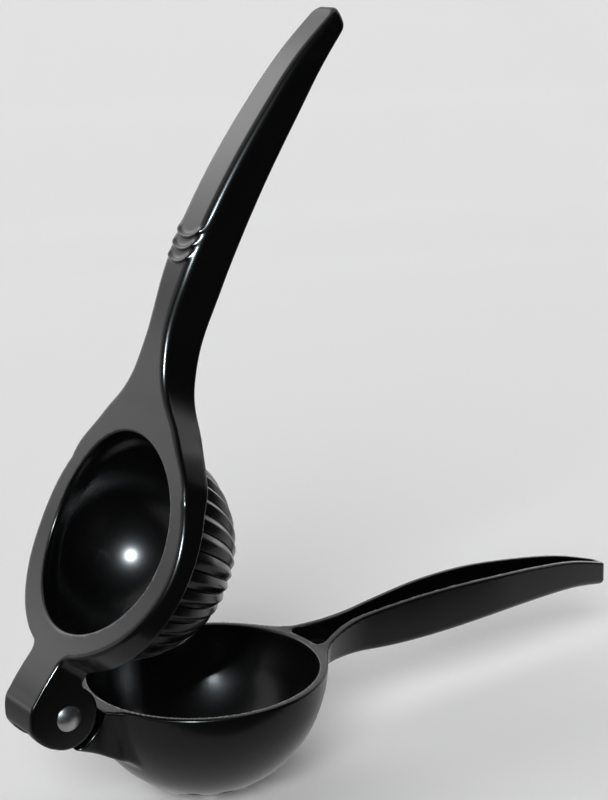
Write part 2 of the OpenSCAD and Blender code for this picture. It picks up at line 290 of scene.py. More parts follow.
def lower_shape(x, y, z):
    """Distance from the lower lever's surface, below zero inside it."""
    side = np.abs(y)
    out = x / (1 + RIM_OUT / BOWL_R * ease((z + RIM_OUT_H) / RIM_OUT_H) * (x > 0))
    ball = np.sqrt(out * out + y * y + z * z)
    # handle: side walls, a rounded underside, soft upper edges and a rounded tip
    half, half_slope = lower_side(x)
    low, low_slope = lower_bottom(x)
    top, top_slope = lower_top(x)
    lid = slanted(z - top, top_slope)
    under = slanted(low - z, low_slope)
    walls = both(slanted(side - half, half_slope), x - LOWER_REACH, GRIP_EDGE_R)
    handle = both(both(walls, under, GRIP_EDGE_R), lid, LID_EDGE_R)
    handle = np.maximum(handle, HANDLE_START - x)
    # its trough
    wall = GRIP_WALL + NECK_WALL * (1 - ease((x - NECK_END) / NECK_FADE))
    inner = hollow(x, side, half, half_slope, wall, LOWER_REACH - TIP_SOLID)
    trough = both(inner, under + GRIP_WALL, HOLLOW_CORNER_R)
    handle = both(handle, -trough, HOLLOW_EDGE_R)
    # bowl, and the arm behind it
    bowl = np.where(z > 0, np.hypot(out, y), ball) - BOWL_R
    flare = ease((x - ARM_FLARE_X) / ARM_FLARE_L)
    (ax, az), (bx, bz) = ARM_BELLY
    belly = -((x - bx) * (bz - az) + (z - bz) * (ax - bx)) / math.hypot(ax - bx, az - bz)
    arm = both(side - (ARM_HALF + ARM_FLARE * flare ** 2), belly, ARM_EDGE_R)
    arm = np.maximum(np.maximum(arm, PIN_X - x), x - HINGE_END)
    body = either(bowl, arm, ARM_FILLET)
    body = either(body, handle, HANDLE_FILLET)
    # the flat top of the rim, the hollow and the flat underneath
    body = both(body, lid, RIM_EDGE_R)
    body = both(body, BOWL_R - BOWL_WALL - ball, RIM_EDGE_R)
    body = both(body, -RIM_Z - z, SEAT_EDGE_R)
    # the shoulders around the ears, the tongue between them and its bore
    pin = np.hypot(x - PIN_X, z - PIN_Z)
    body = both(body, -np.maximum(pin - SHOULDER_R, TONGUE_W / 2 - side), SHOULDER_EDGE_R)
    tongue = both(pin - TONGUE_R, side - TONGUE_W / 2, TONGUE_EDGE_R)
    body = np.minimum(body, tongue)
    return both(body, BORE_R - pin, BORE_EDGE_R)


lower_place = Matrix.Translation((0, 0, RIM_Z * MM)) @ Matrix.Scale(MM, 4)
# grid lines are closer together where the forms are small
fine_y = stations((-37.5, -9, 0.7), (-9, 9, 0.4), (9, 37.5, 0.7))
bowl_lever = casting("bowl_lever", lower_shape,
                     (stations((-58.5, -35, 0.5), (-35, 42, 0.8), (42, 154, 1.0),
                               (154, 162.5, 0.5)), fine_y,
                      stations((-36.6, -12, 0.8), (-12, 10.6, 0.45))))


class Sock:
    """A node's output, so that sums on it are written as plain arithmetic."""

    def __init__(self, tree, socket):
        self.tree, self.socket = tree, socket

    def math(self, operation, *others):
        made = self.tree.nodes.new("ShaderNodeMath")
        made.operation = operation
        for socket, value in zip(made.inputs, (self, *others)):
            plug(self.tree, socket, value)
        return Sock(self.tree, made.outputs[0])

    def __add__(self, other): return self.math("ADD", other)
    def __radd__(self, other): return self.math("ADD", other)
    def __sub__(self, other): return self.math("SUBTRACT", other)
    def __rsub__(self, other): return wrap(self.tree, other).math("SUBTRACT", self)
    def __mul__(self, other): return self.math("MULTIPLY", other)
    def __rmul__(self, other): return self.math("MULTIPLY", other)
    def __truediv__(self, other): return self.math("DIVIDE", other)
    def __rtruediv__(self, other): return wrap(self.tree, other).math("DIVIDE", self)
    def __pow__(self, other): return self.math("POWER", other)


def plug(tree, socket, value):
    """Puts a number, a colour or another node's output on a socket."""
    if isinstance(value, Sock):
        tree.links.new(value.socket, socket)
    else:
        socket.default_value = value


def wrap(tree, number):
    """A number as a node, for sums that start with it."""
    made = tree.nodes.new("ShaderNodeValue")
    made.outputs[0].default_value = number
    return Sock(tree, made.outputs[0])


def fill(tree, made, values):
    """Values or links for a node's sockets: _2 is its third one, Base_Color the one so named."""
    for name, value in values.items():
        key = int(name[1:]) if name[0] == "_" else name.replace("_", " ")
        plug(tree, made.inputs[key], value)


def node(tree, kind, settings=None, out=0, **values):
    """A node of any kind: its settings first, then the values or links of its sockets."""
    made = tree.nodes.new(kind)
    for name, value in (settings or {}).items():
        setattr(made, name, value)
    fill(tree, made, values)
    return Sock(tree, made.outputs[out])


def xyz(vector):
    """The three parts of a vector."""
    split = vector.tree.nodes.new("ShaderNodeSeparateXYZ")
    vector.tree.links.new(vector.socket, split.inputs[0])
    return [Sock(vector.tree, part) for part in split.outputs]


def joined(tree, *pieces):
    """Several geometries as one."""
    made = tree.nodes.new("GeometryNodeJoinGeometry")
    for piece in pieces:
        tree.links.new(piece.socket, made.inputs[0])
    return Sock(tree, made.outputs[0])


def recipe(name, sizes, counts, on_mesh=False):
    """Empty Geometry Nodes tree with named inputs: the tree, its inputs, and their settings."""
    tree = bpy.data.node_groups.new(name, "GeometryNodeTree")
    face = tree.interface
    if on_mesh:
        face.new_socket("Geometry", in_out="INPUT", socket_type="NodeSocketGeometry")
    keys = []
    for label, value in {**sizes, **counts}.items():
        kind = "NodeSocketInt" if label in counts else "NodeSocketFloat"
        keys.append((face.new_socket(label, in_out="INPUT", socket_type=kind).identifier, value))
    face.new_socket("Geometry", in_out="OUTPUT", socket_type="NodeSocketGeometry")
    given = tree.nodes.new("NodeGroupInput")
    return tree, {s.name: Sock(tree, s) for s in given.outputs if s.name}, keys


def give(result):
    """Makes this geometry what its tree gives."""
    done = result.tree.nodes.new("NodeGroupOutput")
    result.tree.links.new(result.socket, done.inputs[0])


def cooked(obj, tree, keys):
    """Plain mesh that a Geometry Nodes tree makes on an object; the object keeps no modifier."""
    maker = obj.modifiers.new(tree.name, "NODES")
    maker.node_group = tree
    for identifier, value in keys:
        maker[identifier] = value
    bpy.context.view_layer.update()
    seen = obj.evaluated_get(bpy.context.evaluated_depsgraph_get())
    mesh = bpy.data.meshes.new_from_object(seen)
    obj.modifiers.remove(maker)
    return mesh


def drill(obj, name, hole_d, inner_r, outer_r, count):
    """Geometry Nodes that drill two circles of upright drain holes through a bowl."""
    tree, size, keys = recipe(name, {"Hole Diameter": hole_d, "Inner Circle": inner_r,
                                     "Outer Circle": outer_r, "Depth": 2 * BOWL_R},
                              {"Holes": count}, on_mesh=True)
    drill_bit = node(tree, "GeometryNodeMeshCylinder", {"fill_type": "NGON"}, Vertices=48,
                     Radius=size["Hole Diameter"] * 0.5, Depth=size["Depth"])
    circles = []
    for radius, share in (("Inner Circle", 1), ("Outer Circle", 2)):
        ring = node(tree, "GeometryNodeMeshCircle", Vertices=size["Holes"] * share,
                    Radius=size[radius])
        half_step = math.pi / (count * share) * (share - 1)
        turned = node(tree, "GeometryNodeTransform", Geometry=ring, Rotation=(0, 0, half_step),
                      Translation=(0, 0, -BOWL_R))
        bits = node(tree, "GeometryNodeInstanceOnPoints", Points=turned, Instance=drill_bit)
        circles.append(node(tree, "GeometryNodeRealizeInstances", Geometry=bits))
    give(node(tree, "GeometryNodeMeshBoolean", {"operation": "DIFFERENCE", "solver": "EXACT"},
              _0=size["Geometry"], _1=joined(tree, *circles)))
    obj.data = cooked(obj, tree, keys)


DRAIN_D, DRAIN_INNER_R, DRAIN_OUTER_R, DRAIN_COUNT = 4.4, 10.0, 18.0, 6
drill(bowl_lever, "drain_holes", DRAIN_D, DRAIN_INNER_R, DRAIN_OUTER_R, DRAIN_COUNT)
drains = np.array([[r * math.cos(a), r * math.sin(a)]
                   for r, n, shift in ((DRAIN_INNER_R, DRAIN_COUNT, 0),
                                       (DRAIN_OUTER_R, 2 * DRAIN_COUNT, 0.5))
                   for a in [(i + shift) * 2 * math.pi / n for i in range(n)]])
finish_casting(bowl_lever, lower_shape, lower_place, drains)


def new_material(name):
    """New material, with its node tree and its surface shader."""
    made = bpy.data.materials.new(name)
    made.use_nodes = True
    return made, made.node_tree, made.node_tree.nodes["Principled BSDF"]


def own_place(tree):
    """Where a point lies on its object."""
    return node(tree, "ShaderNodeTexCoord", out=3)


def two_tone(tree, share, dark, light):
    """A colour between two others."""
    return node(tree, "ShaderNodeMix", {"data_type": "RGBA"}, out=2, _0=share, _6=(*dark, 1),
                _7=(*light, 1))


def enamel(name, shift):
    """Gloss black enamel over a casting: a hard clear top on a slightly softer ground."""
    made, tree, paint = new_material(name)
    here = node(tree, "ShaderNodeMapping", Vector=own_place(tree), Location=(shift, shift, 0))
    cloud = node(tree, "ShaderNodeTexNoise", Vector=here, Scale=70.0, Detail=3.0)
    peel = node(tree, "ShaderNodeTexNoise", Vector=here, Scale=420.0, Detail=2.0)
    grain = node(tree, "ShaderNodeTexNoise", Vector=here, Scale=2600.0, Detail=1.0)
    wave = node(tree, "ShaderNodeBump", Height=peel + 0.08 * grain, Strength=0.05, Distance=0.001)
    fill(tree, paint, {
        "Base Color": two_tone(tree, cloud, (0.0010, 0.0010, 0.0011), (0.0022, 0.0021, 0.0019)),
        "Roughness": 0.26 + 0.10 * cloud, "IOR": 1.15, "Coat Weight": 1.0,
        "Coat Roughness": 0.21, "Coat IOR": 1.5, "Normal": wave})
    return made


bowl_lever.data.materials.clear()
bowl_lever.data.materials.append(enamel("gloss_black_enamel_lower", 0.0))
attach(bowl_lever, "lower")
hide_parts("lower_lever")


# ---- Upper lever -------------------------------------------------------------------------------
# The other casting: a ring with the press dome under it, the upper handle with three thumb ridges,
# the hood over the tongue and the two ears that hold the rivet. Same aluminium, same enamel; the
# dome is left hollow, and so is the underside of the handle.
RIM_GAP = 0.8                # between the ring and the bowl's rim, closed
RING_TOP = 6.3
DRAFT = 0.19                 # the ring's outside leans in towards its top
DOME_R, DOME_HOLLOW_R = 32.0, 27.8
DOME_BURIED, DOME_FILLET = 1.0, 0.5  # where the dome meets the ring
MOUTH_OUT, MOUTH_LONG, MOUTH_NARROW = 1.9, 0.9, 0.5    # the hollow's mouth is slightly oval
MOUTH_H, MOUTH_EDGE_R = 5.0, 0.7
RIB_DEPTH, RIB_COUNT = 1.3, 36
CAP_R = 9.0                  # the smooth cap where the ribs run out
CAP_LAT = math.acos(CAP_R / DOME_R)
EAR_R, EAR_BORE_R = 9.3, 2.02        # the bore is tight on the rivet
EAR_FILLET = 1.2             # between ears and ring; below, where it starts, grows and ends
FILLET_START, FILLET_GROWTH, FILLET_END = 1.0, 4.0, 12.0
HOOD_R, HOOD_IN_R = 12.1, 8.9
HOOD_START, HOOD_BLEND = 3.0, 6.0    # the ring's top runs over into the hood
HINGE_W, STRIP_FILLET = 15.4, 2.5
SLOT_W, SLOT_END = 8.5, 1.0  # the tongue's slot ends this far past the ears
LIP_ANGLE = math.radians(131)
OPEN_ANGLE = math.radians(61.3)
UPPER_NECK_W, UPPER_GRIP_W, UPPER_GRIP_H = 11.2, 13.8, 13.4
NECK_START, NECK_FILLET = 20.0, 3.0
LEAN_L = 24.0                # over this length the neck's sides stop leaning in
CHANNEL_X = 51.0             # where the hollow of the handle starts
THUMB_X, THUMB_PITCH, THUMB_COUNT = 78.1, 3.6, 3
THUMB_R, THUMB_HALF, THUMB_GROWTH = 7.5, 5.4, 0.4      # each ridge is a little longer
THUMB_RISE, THUMB_SLOW, THUMB_STEEP = 0.62, 1.0, 0.4
THUMB_FADE, THUMB_RUNOUT = 1.8, 0.6  # how its ends fade out
PART_T, TIP_GAP = 0.72, 2.4  # the handles part again towards their tips
TIP_R, TIP_PAST = 3.5, 0.3   # the tip's end
NOSE, NOSE_H = 2.8, 6.0      # how far that leans back at its foot, and up to what height
BOTTOM_EDGE_R, EDGE_START, EDGE_BLEND = 0.8, 1.5, 3.0  # the edges get softer upwards
STRAP_EDGE_R = 0.35
AWAY = 50.0                  # a distance that no fillet reaches
upper_height = curve([[0, 0.80], [0.07, 0.868], [0.28, 1], [0.5, 0.94], [0.75, 0.78], [1, 0.59]])
upper_width = curve([[-0.11, 0.81 * BOWL_R], [-0.05, 0.64 * BOWL_R], [0, 0.485 * BOWL_R],
                     [0.03, 0.368 * BOWL_R], [0.06, 0.281 * BOWL_R], [0.1, 0.214 * BOWL_R],
                     [0.19, UPPER_NECK_W / 2], [0.31, 0.465 * UPPER_GRIP_W],
                     [0.45, UPPER_GRIP_W / 2], [0.67, 0.49 * UPPER_GRIP_W],
                     [0.85, 0.44 * UPPER_GRIP_W], [1, 0.41 * UPPER_GRIP_W]])


def grip_top(x):
    """Height of the upper handle's top, closed."""
    return arch_line(along(x)) + UPPER_GRIP_H * upper_height(along(x))


ring_line = curve([[PIN_X, PIN_Z + HOOD_R], [PIN_X + 4.5, PIN_Z + HOOD_R - 0.5],
                   [PIN_X + 10, PIN_Z + HOOD_R - 1.6], [-0.74 * BOWL_R, RING_TOP + 2.7],
                   [-0.42 * BOWL_R, RING_TOP + 1.0], [-0.08 * BOWL_R, RING_TOP + 0.1],
                   [0.28 * BOWL_R, RING_TOP + 0.7], [0.6 * BOWL_R, RING_TOP + 2.0],
                   [BOWL_R, grip_top(BOWL_R)]])
# the hood's radius, over the angle around the rivet in degrees
hood_line = curve([[90, HOOD_R + 0.2], [113, HOOD_R - 0.4], [126, HOOD_R - 0.6],
                   [140, (HOOD_R + EAR_R) / 2], [158, EAR_R + 0.6], [180, EAR_R]])
upper_top = outline(lambda x: np.where(x < BOWL_R, ring_line(x), grip_top(x)),
                    PIN_X, REACH + 2, soften=1.6)


def grip_bottom(x):
    """Height of its underside, which parts from the lower handle towards the tips."""
    line = arch_line(along(x)) + HANDLE_GAP
    parting = TIP_GAP * (np.maximum(along(x) - PART_T, 0) / (1 - PART_T)) ** 2
    return np.where(along(x) < PART_T, np.maximum(RIM_GAP, line), line + parting)


upper_bottom = outline(lambda x: np.where(x < BOWL_R, RIM_GAP, grip_bottom(x)),
                       PIN_X - 12, REACH + 2, soften=1.2)
upper_side = outline(lambda x: upper_width(along(x)), 18, REACH + 2, soften=1.6)
# radius of the upper lever's top edges, over x
edge_r = curve([[-60, 0.9], [-40, 0.9], [-30, 1.3], [30, 1.3], [50, 2.0], [70, 2.7], [110, 2.7],
                [140, 2.3], [161, 1.6]])


def thumb_relief(x, side):
    """Height of the three crescent ridges: a slow rise from the tip, then a steep fall."""
    rise = 0
    for i in range(THUMB_COUNT):
        centre = THUMB_X + i * THUMB_PITCH + THUMB_R
        from_arc = THUMB_R - np.hypot(x - centre, side)
        half = THUMB_HALF + THUMB_GROWTH * i
        fade = ease((half + THUMB_RUNOUT - side) / THUMB_FADE) * (x < centre)
        width = np.where(from_arc > 0, THUMB_SLOW, THUMB_STEEP)
        rise = rise + fade * THUMB_RISE * np.exp(-(from_arc / width) ** 2)
    return rise


def upper_shape(x, y, z):
    """Distance from the upper lever's surface, closed, below zero inside it."""
    side = np.abs(y)
    u, w = x - PIN_X, z - PIN_Z
    pin = np.hypot(u, w)
    # top of the handle and ring, running over into the hood
    top, top_slope = upper_top(x)
    flat = slanted(z - top - thumb_relief(x, side), top_slope)
    around = np.degrees(np.arctan2(w, u))
    hood = pin - np.where(w < 0, EAR_R, hood_line(around))
    k = ease((HOOD_START - u) / HOOD_BLEND)
    over = flat * (1 - k) + hood * k
    low, low_slope = upper_bottom(x)
    strap = both(over, slanted(low - z, low_slope), STRAP_EDGE_R)
    ear = np.where(u < FILLET_END, pin - EAR_R, AWAY)
    strap = either(strap, ear, EAR_FILLET * ease((u - FILLET_START) / FILLET_GROWTH))
    # plan: disc, neck and handle, hinge strip
    disc = (np.hypot(x, y) - BOWL_R + DRAFT * (z - RIM_GAP)) / math.hypot(1, DRAFT)
    half, half_slope = upper_side(x)
    lean = DRAFT * (z - RIM_GAP) * (1 - ease((x - NECK_START) / LEAN_L))
    neck = np.maximum(slanted(side - half + lean, half_slope), NECK_START - x)
    slant = NOSE * np.clip(1 - (z - low) / NOSE_H, 0, 1) ** 2
    neck = both(neck, x - REACH - TIP_PAST + slant, TIP_R)
    strip = np.maximum(side - HINGE_W / 2, x - HINGE_END)
    plan = either(either(disc, neck, NECK_FILLET), strip, STRIP_FILLET)
    high = ease((z - low - EDGE_START) / EDGE_BLEND)
    body = both(plan, strap, BOTTOM_EDGE_R + (edge_r(x) - BOTTOM_EDGE_R) * high)
    # dome, without its ribs, and its hollow
    rise = z - RIM_GAP
    ball = np.sqrt(x * x + y * y + rise * rise)
    lat = np.arcsin(np.clip(-rise / np.maximum(ball, 1e-6), 0, 1))
    floor_r = DOME_R - RIB_DEPTH * np.clip(1 - (lat / CAP_LAT) ** 3, 0, 1)
    body = either(body, np.maximum(ball - floor_r, rise - DOME_BURIED), DOME_FILLET)
    up = ease(rise / MOUTH_H)
    mouth = np.hypot((x - MOUTH_OUT * up) / (DOME_HOLLOW_R + MOUTH_LONG * up),
                     y / (DOME_HOLLOW_R - MOUTH_NARROW * up)) * DOME_HOLLOW_R
    body = both(body, DOME_HOLLOW_R - np.where(rise > 0, mouth, ball), MOUTH_EDGE_R)
    # hollow under the handle
    inner = hollow(x, side, half, half_slope, GRIP_WALL, REACH - TIP_SOLID)
    inner = both(inner, CHANNEL_X - x, HOLLOW_CORNER_R)
    channel = both(inner, slanted(z - top, top_slope) + GRIP_WALL, HOLLOW_CORNER_R)
    body = both(body, -channel, HOLLOW_EDGE_R)
    # slot for the tongue, open below and behind the hood's lip
    behind = np.maximum(u * math.sin(LIP_ANGLE) - w * math.cos(LIP_ANGLE), u)
    below = np.maximum(z - RIM_GAP, u - (EAR_R + SLOT_END))
    slot = np.minimum(np.minimum(pin - HOOD_IN_R, behind), below)
    body = both(body, -np.maximum(slot, side - SLOT_W / 2), HOLLOW_EDGE_R)
    return both(body, EAR_BORE_R - pin, BORE_EDGE_R)


swing = (Matrix.Translation((PIN_X, 0, PIN_Z + RIM_Z)) @ Matrix.Rotation(-OPEN_ANGLE, 4, "Y")
         @ Matrix.Translation((-PIN_X, 0, -PIN_Z)))
upper_place = Matrix.Scale(MM, 4) @ swing
dome_lever = casting("dome_lever", upper_shape,
                     (stations((-61.5, -34, 0.5), (-34, 36, 0.8), (36, 75, 1.0), (75, 89, 0.3),
                               (89, 154, 1.0), (154, 162.5, 0.5)), fine_y,
                      stations((-31.8, -5, 0.8), (-5, 21.5, 0.45))))
finish_casting(dome_lever, upper_shape, upper_place)
dome_lever.data.materials.append(enamel("gloss_black_enamel_upper", 0.3))
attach(dome_lever, "upper")
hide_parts("upper_lever")


# ---- Ribs of the press dome --------------------------------------------------------------------
# Thirty-six upright ribs with V grooves between them, cast with the dome. They grip the fruit and
# let the juice run down. Each is deepest under the ring and runs out into the smooth cap.
RIB_BURIED = 0.5             # how far a rib's root lies inside the dome
RIB_START = 0.02             # it starts this share of its length above the dome's rim
RIB_END_STEEP = 60.0         # its ends close within a sixtieth of its length
CREST_ROUND = 0.012
CREST_HALF = 0.5001          # the crest's share of the section, with a hair to spare


def unit_grid(tree, columns, rows):
    """A grid one unit wide and long, and the x and y of its points."""
    grid = node(tree, "GeometryNodeMeshGrid", Size_X=1.0, Size_Y=1.0, Vertices_X=columns,
                Vertices_Y=rows)
    x, y, _ = xyz(node(tree, "GeometryNodeInputPosition"))
    return grid, x, y


def set_round(item, count):
    """An item repeated in even steps of a full turn around the z axis."""
    tree = item.tree
    many = node(tree, "GeometryNodePoints", Count=count)
    turn = node(tree, "GeometryNodeInputIndex") * (2 * math.pi) / count
    spin = node(tree, "ShaderNodeCombineXYZ", Z=turn)
    spin = node(tree, "FunctionNodeEulerToRotation", Euler=spin)
    placed = node(tree, "GeometryNodeInstanceOnPoints", Points=many, Instance=item, Rotation=spin)
    return node(tree, "GeometryNodeRealizeInstances", Geometry=placed)


def ribs(name, finish, sizes, counts):
    """Geometry Nodes: one rib laid on the dome along its meridian, repeated around the axis."""
    tree, size, keys = recipe(name, sizes, counts)
    grid, x, y = unit_grid(tree, size["Points Around"], size["Points Along"])
    across, length = x * 2.0, y + 0.5
    # across runs -1 to 1 round a closed section: the crest on the middle half, the root behind
    folded = across.math("ABSOLUTE")
    crest = folded.math("LESS_THAN", CREST_HALF)
    root = across.math("SIGN") * (2.0 - folded * 2.0)
    side = crest * (across * 2.0) + (1.0 - crest) * root
    peak = 1.0 - (side * side + CREST_ROUND).math("SQRT")
    lat = (length * (1.0 + RIB_START) - RIB_START) * CAP_LAT
    shallow = (lat.math("MAXIMUM", 0.0) / CAP_LAT) ** 3.0
    depth = size["Rib Depth"] * (1.0 - shallow).math("MAXIMUM", 0.0)
    ends = ((length * RIB_END_STEEP).math("MINIMUM", 1.0)
            * ((1.0 - length) * RIB_END_STEEP).math("MINIMUM", 1.0))
    height = crest * (peak.math("MAXIMUM", 0.0) * depth) - (1.0 - crest) * size["Buried"]
    floor_r = size["Dome Radius"] - depth
    radius = floor_r + (height + size["Buried"] * 0.5) * ends - size["Buried"] * 0.5
    turn = side * ends * (math.pi / size["Ribs"])
    flat = radius * lat.math("COSINE")
    point = node(tree, "ShaderNodeCombineXYZ", X=flat * turn.math("COSINE"),
                 Y=flat * turn.math("SINE"), Z=size["Centre Height"] - radius * lat.math("SINE"))
    laid = node(tree, "GeometryNodeSetPosition", Geometry=grid, Position=point)
    sealed = node(tree, "GeometryNodeMergeByDistance", Geometry=laid, Distance=0.002)
    give(node(tree, "GeometryNodeSetMaterial", Geometry=set_round(sealed, size["Ribs"]),
              Material=finish))
    return tree, keys


def grown(name, tree, keys, place):
    """Plain mesh object from a Geometry Nodes tree, put in place by a matrix."""
    seed = in_scene(name + "_seed", bpy.data.meshes.new(name + "_seed"))
    mesh = cooked(seed, tree, keys)
    bpy.data.objects.remove(seed)
    mesh.name = name
    mesh.transform(place)
    return in_scene(name, mesh)


rib_tree, rib_keys = ribs("press_ribs", dome_lever.data.materials[0],
                          {"Dome Radius": DOME_R, "Rib Depth": RIB_DEPTH, "Buried": RIB_BURIED,
                           "Centre Height": RIM_GAP},
                          {"Ribs": RIB_COUNT, "Points Around": 25, "Points Along": 62})
press_ribs = grown("press_ribs", rib_tree, rib_keys, upper_place)
press_ribs.data.shade_smooth()
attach(press_ribs, "upper")


# ---- Hinge rivet -------------------------------------------------------------------------------
# A polished steel rivet through both ears and the tongue. It is pushed in from one side and
# its end is formed into the second domed head, so both heads look alike.
RIVET_R, HEAD_R, HEAD_H = 2.0, 3.7, 1.2
HEAD_EDGE = 0.25             # height of the straight edge below the head's dome
SHANK_PAST = 0.3             # how much longer the shank is than the hinge is wide
TURNED_RINGS = 42000.0       # ripple of the turned rings, in radians over a metre


def rivet(name, finish, sizes, counts):
    """Geometry Nodes: a domed head set twice, back to back, and the shank between."""
    tree, size, keys = recipe(name, sizes, counts)
    # the head: a slice of a sphere, an edge around it, and a flat back
    ball = (size["Head Radius"] ** 2.0 + size["Head Height"] ** 2.0) / (2.0 * size["Head Height"])
    grid, x, y = unit_grid(tree, size["Points Around"], size["Points Out"])
    turn, out = (x + 0.5) * (2 * math.pi), y + 0.5
    # out runs 0 to 1: over the dome up to 0.7, round its edge to 0.8, back under it to the shank
    dome = (out / 0.7).math("MINIMUM", 1.0)
    edge = ((out - 0.7) * 10.0).math("MAXIMUM", 0.0).math("MINIMUM", 1.0)
    back = ((out - 0.8) * 5.0).math("MAXIMUM", 0.0).math("MINIMUM", 1.0)
    wide = size["Head Radius"] * dome.math("SINE") / math.sin(1.0)
    cap = (ball * ball - wide * wide).math("MAXIMUM", 0.0).math("SQRT") - ball + size["Head Height"]
    radius = wide * (1.0 - back)
    high = (cap + HEAD_EDGE) * (1.0 - edge)
    point = node(tree, "ShaderNodeCombineXYZ", X=radius * turn.math("COSINE"),
                 Z=radius * turn.math("SINE"), Y=-1.0 * (size["Hinge Width"] * 0.5 + high))
    head = node(tree, "GeometryNodeSetPosition", Geometry=grid, Position=point)
    head = node(tree, "GeometryNodeMergeByDistance", Geometry=head, Distance=0.0005)
    heads = set_round(node(tree, "GeometryNodeSetShadeSmooth", Geometry=head), 2)
    shank = node(tree, "GeometryNodeMeshCylinder", {"fill_type": "NGON"}, Vertices=64,
                 Radius=size["Shank Radius"], Depth=size["Hinge Width"] + SHANK_PAST)
    shank = node(tree, "GeometryNodeTransform", Geometry=shank, Rotation=(math.pi / 2, 0, 0))
    give(node(tree, "GeometryNodeSetMaterial", Geometry=joined(tree, heads, shank),
              Material=finish))
    return tree, keys


def polished_steel(name, axis):
    """Polished steel with the faint turned rings of a formed rivet head."""
    made, tree, metal = new_material(name)
    here = own_place(tree)
    centred = node(tree, "ShaderNodeMapping", Vector=here, Location=(-axis[0], 0, -axis[2]))
    flat = node(tree, "ShaderNodeVectorMath", {"operation": "MULTIPLY"}, _0=centred, _1=(1, 0, 1))
    radius = node(tree, "ShaderNodeVectorMath", {"operation": "LENGTH"}, out=1, _0=flat)
    rings = (radius * TURNED_RINGS).math("SINE")
    cloud = node(tree, "ShaderNodeTexNoise", Vector=here, Scale=900.0, Detail=4.0)
    bump = node(tree, "ShaderNodeBump", Height=0.3 * rings + cloud, Strength=0.08, Distance=0.0002)
    fill(tree, metal, {
        "Base Color": two_tone(tree, cloud, (0.56, 0.56, 0.57), (0.70, 0.69, 0.67)),
        "Roughness": 0.22 + 0.14 * cloud, "Metallic": 1.0, "Normal": bump})
    return made


pin_axis = (PIN_X * MM, 0, (PIN_Z + RIM_Z) * MM)
pin_place = Matrix.Translation(pin_axis) @ Matrix.Scale(MM, 4)
steel = polished_steel("polished_steel", pin_axis)
rivet_tree, rivet_keys = rivet("hinge_pin", steel,
                               {"Head Radius": HEAD_R, "Head Height": HEAD_H,
                                "Shank Radius": RIVET_R, "Hinge Width": HINGE_W},
                               {"Points Around": 73, "Points Out": 41})
hinge_pin = grown("hinge_pin", rivet_tree, rivet_keys, pin_place)
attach(hinge_pin, "upper")
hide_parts("hinge_rivet")


# ---- Floor, light and camera -------------------------------------------------------------------
# A pale paper floor in a studio that is dark in front of the tool, and open and bright behind it,
# with two windows and a lamp over the left shoulder. The view is from the hinge end, a little
# above the tool. Sizes here are in metres.
FLOOR = 30.0                 # half its width
FLOOR_CORNERS = [(-FLOOR, -FLOOR), (FLOOR, -FLOOR), (FLOOR, FLOOR), (-FLOOR, FLOOR)]


def level_sheet(name, corners, height, material):
    """Flat level sheet with these corners."""
    mesh = bpy.data.meshes.new(name)
    mesh.from_pydata([(x, y, height) for x, y in corners], [], [tuple(range(len(corners)))])
    mesh.materials.append(material)
    return in_scene(name, mesh)


def floor_paper():
    """Dull pale paper, with a hint of cloud in its tone."""
    made, tree, paper = new_material("pale_paper")
    cloud = node(tree, "ShaderNodeTexNoise", Vector=own_place(tree), Scale=900.0, Detail=3.0)
    fill(tree, paper, {
        "Base Color": two_tone(tree, cloud, (0.94, 0.94, 0.94), (0.97, 0.97, 0.97)),
        "Roughness": 0.9, "Specular IOR Level": 0.2})
    return made


floor = level_sheet("floor", FLOOR_CORNERS, 0, floor_paper())


def toward(azimuth, elevation):
    """Unit vector: azimuth 0 is -Y, 90 is +X, in degrees."""
    a, e = math.radians(azimuth), math.radians(elevation)
    return Vector((math.sin(a) * math.cos(e), -math.cos(a) * math.cos(e), math.sin(e)))


def facing(tree, look, direction):
    """How far a direction of view points this way: the cosine of the angle between them."""
    return node(tree, "ShaderNodeVectorMath", {"operation": "DOT_PRODUCT"}, out=1,
                _0=look, _1=tuple(direction))


def ramp(tree, value, low, high):
    """Smooth rise from 0 to 1 while the value goes from low to high."""
    return node(tree, "ShaderNodeMapRange", {"interpolation_type": "SMOOTHSTEP"}, Value=value,
                From_Min=low, From_Max=high)


# the studio: a dark room in front, and an open pale wall behind, which is lighter low down and has
# a bright window high up; a second, narrow window lies to the right of the tool
DARK, WALL, LOW_WALL = 0.02, 0.56, 0.62
BACK = toward(180, 12)
BACK_EDGE = (0.09, 0.21)     # cosines from BACK between which the dark gives way to the wall
LOW_EDGE = (0.04, 0.24)      # heights between which the wall loses its lighter part
WINDOW, WINDOW_SHARP = 2.5, 33.0     # the half width of the window is about 12 degrees
WINDOW_AT = toward(-165, 31)
SIDE_WINDOW, SIDE_AT = 2.6, toward(82, 31)
SIDE_SILL, SIDE_HEAD = (0.482, 0.502), (0.522, 0.552)
SIDE_OUTER, SIDE_INNER = math.cos(math.radians(16)), math.cos(math.radians(10))

world = bpy.data.worlds.new("studio")
bpy.context.scene.world = world
world.use_nodes = True
room = world.node_tree
look = node(room, "ShaderNodeTexCoord", out=0)
height = facing(room, look, (0, 0, 1))
behind = ramp(room, facing(room, look, BACK), *BACK_EDGE)
low_down = 1.0 - ramp(room, height, *LOW_EDGE)
window = facing(room, look, WINDOW_AT).math("MAXIMUM", 0.0) ** WINDOW_SHARP
at_side = (ramp(room, height, *SIDE_SILL) * (1.0 - ramp(room, height, *SIDE_HEAD))
           * ramp(room, facing(room, look, SIDE_AT), SIDE_OUTER, SIDE_INNER))
fill(room, room.nodes["Background"], {
    "Color": (1, 1, 1, 1),
    "Strength": DARK + behind * (WALL + LOW_WALL * low_down) + WINDOW * window
                + SIDE_WINDOW * at_side})


CARD_Z = 0.0003              # just above the floor


